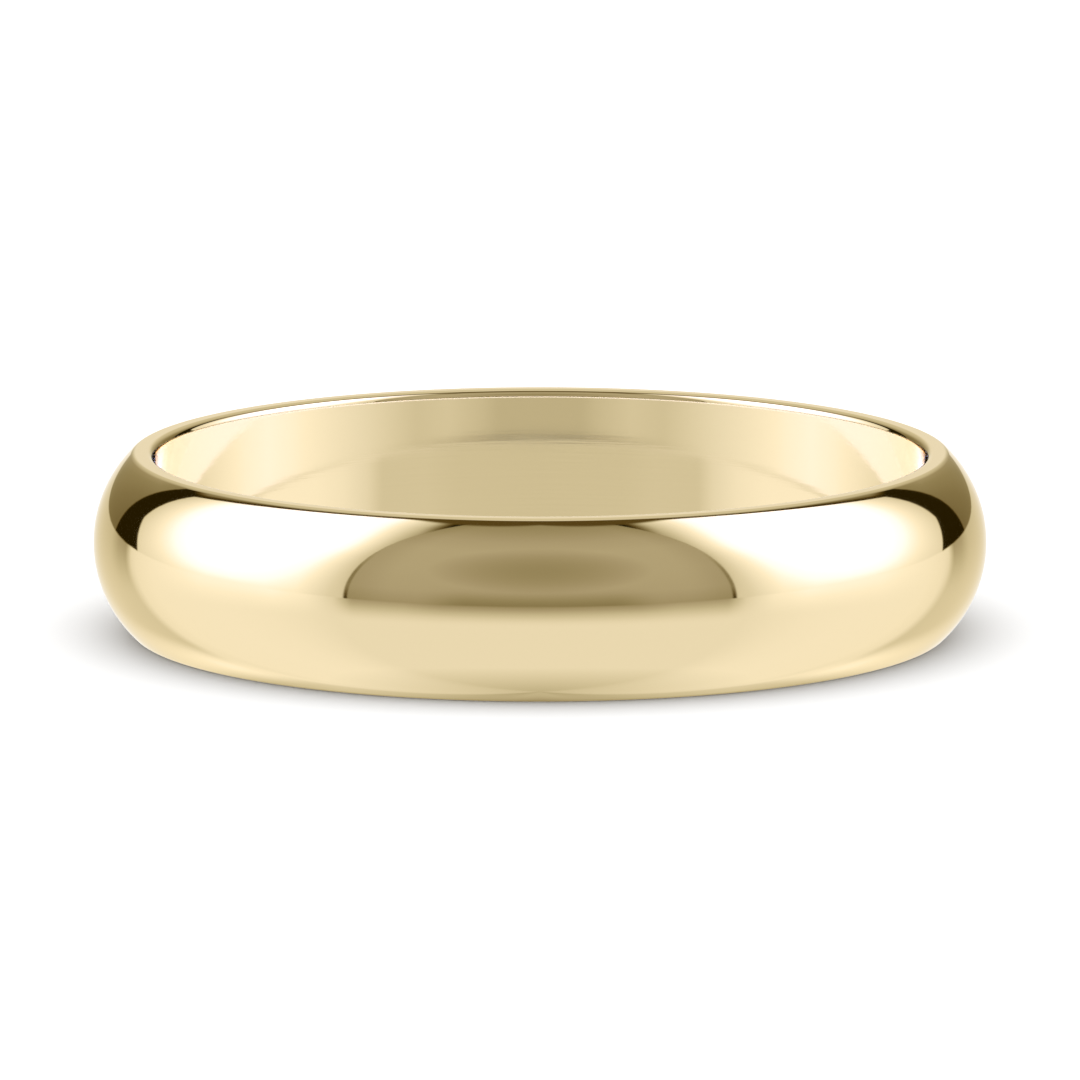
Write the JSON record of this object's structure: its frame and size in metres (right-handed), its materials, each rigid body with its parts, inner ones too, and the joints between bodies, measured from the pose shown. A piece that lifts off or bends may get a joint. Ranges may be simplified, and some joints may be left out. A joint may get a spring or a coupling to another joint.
{
  "type": "wedding band",
  "caption": "Plain polished gold finger ring with a flat bore, a domed outside and softly rounded edges, lying flat on one edge.",
  "frame": {"origin": "centre of the finger hole, on the plane that the lower edge rests on", "axes": "+Z along the ring's axis, up through the finger hole; +X and +Y across the ring, which is the same all the way round"},
  "size_m": [0.0198, 0.0198, 0.004],
  "materials": {
    "yellow_gold": "mirror-polished pale yellow gold"
  },
  "bodies": {
    "root": {"band": "yellow_gold"}
  },
  "joints": []
}
